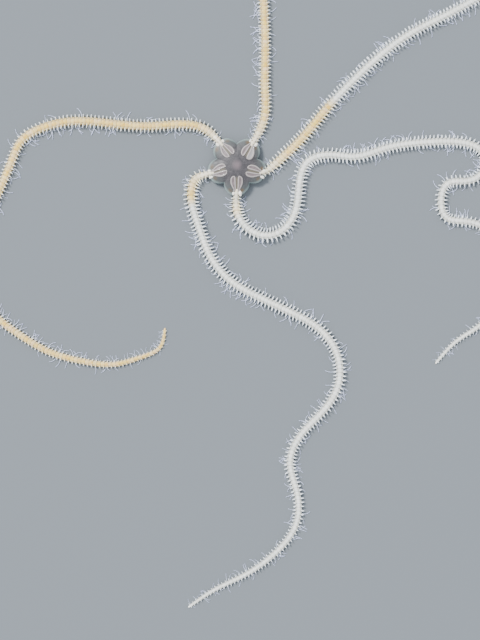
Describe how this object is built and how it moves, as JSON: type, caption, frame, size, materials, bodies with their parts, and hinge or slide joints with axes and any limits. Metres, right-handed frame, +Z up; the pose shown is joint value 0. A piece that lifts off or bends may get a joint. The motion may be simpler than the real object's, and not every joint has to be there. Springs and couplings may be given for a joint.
{
  "type": "brittle star",
  "caption": "Long-armed brittle star lying on the floor: a small lobed disc with paired radial shields and very long, thin, spiny arms spread in loose curves",
  "frame": {"origin": "centre of the flat underside of the mouth frame, on the floor", "axes": "+Z up out of the disc's back; +Y up the picture, along the longest extent; +X to its right"},
  "size_m": [0.1533, 0.175, 0.0031],
  "materials": {
    "disc_skin": "naked, finely granular grey skin, slightly wet",
    "mouth_plates": "smooth yellowish calcite plates",
    "arm_cream": "cream calcite plates and glassy spines",
    "arm_white": "off-white calcite plates and glassy spines"
  },
  "bodies": {
    "root": {"disc": "disc_skin", "mouth_frame": "mouth_plates", "arm_1_length_1": "arm_cream", "arm_1_length_2": "arm_cream", "arm_1_length_3": "arm_cream", "arm_1_length_4": "arm_cream", "arm_1_length_5": "arm_cream", "arm_1_length_6": "arm_cream", "arm_1_length_7": "arm_cream", "arm_1_length_8": "arm_cream", "arm_1_length_9": "arm_cream", "arm_2_length_1": "arm_cream", "arm_2_length_2": "arm_cream", "arm_2_length_3": "arm_white", "arm_2_length_4": "arm_white", "arm_2_length_5": "arm_white", "arm_2_length_6": "arm_white", "arm_2_length_7": "arm_white", "arm_2_length_8": "arm_white", "arm_2_length_9": "arm_white", "arm_3_length_1": "arm_white", "arm_3_length_2": "arm_white", "arm_3_length_3": "arm_white", "arm_3_length_4": "arm_white", "arm_3_length_5": "arm_white", "arm_3_length_6": "arm_white", "arm_3_length_7": "arm_white", "arm_3_length_8": "arm_white", "arm_3_length_9": "arm_white", "arm_4_length_1": "arm_white", "arm_4_length_2": "arm_white", "arm_4_length_3": "arm_white", "arm_4_length_4": "arm_white", "arm_4_length_5": "arm_white", "arm_4_length_6": "arm_white", "arm_4_length_7": "arm_white", "arm_4_length_8": "arm_white", "arm_4_length_9": "arm_white", "arm_5_length_1": "arm_cream", "arm_5_length_2": "arm_cream", "arm_5_length_3": "arm_cream", "arm_5_length_4": "arm_cream", "arm_5_length_5": "arm_cream", "arm_5_length_6": "arm_cream", "arm_5_length_7": "arm_cream", "arm_5_length_8": "arm_cream", "arm_5_length_9": "arm_cream"}
  },
  "joints": []
}
